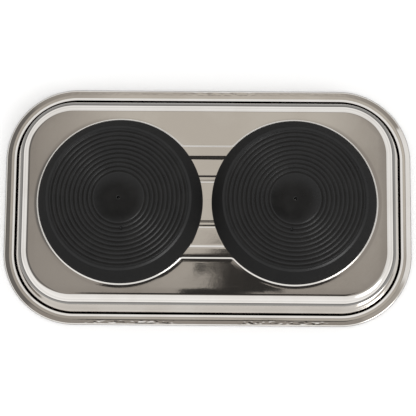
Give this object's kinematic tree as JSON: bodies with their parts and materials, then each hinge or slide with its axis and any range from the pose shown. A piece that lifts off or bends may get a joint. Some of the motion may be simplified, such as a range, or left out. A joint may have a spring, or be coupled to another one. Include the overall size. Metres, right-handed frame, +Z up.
{
  "type": "magnetic parts tray",
  "caption": "Rectangular stainless steel parts tray with a rolled rim, lying rim down, showing the rubber-booted ring magnets bolted under its floor.",
  "frame": {"origin": "middle of the plane that the rim rests on, with the tray turned over", "axes": "+X along the tray's long side, +Y across it, +Z up out of the magnets' faces; in use the tray is turned over, so that its magnets grip the bench or a steel panel and its dish opens away from them"},
  "size_m": [0.24, 0.14, 0.038],
  "materials": {
    "stainless": "polished",
    "boot_rubber": "matte",
    "ferrite": "matte",
    "zinc_plate": "satin",
    "fastener": "satin"
  },
  "bodies": {
    "root": {"tray_shell": "stainless", "rubber_boot_left": "boot_rubber", "rubber_boot_right": "boot_rubber", "ring_magnet_left": "ferrite", "ring_magnet_right": "ferrite", "pole_plate_left": "zinc_plate", "pole_plate_right": "zinc_plate", "mounting_screw_left": "fastener", "mounting_screw_right": "fastener", "flat_washer_left": "fastener", "flat_washer_right": "fastener", "spring_washer_left": "fastener", "spring_washer_right": "fastener", "hex_nut_left": "fastener", "hex_nut_right": "fastener"}
  },
  "joints": []
}
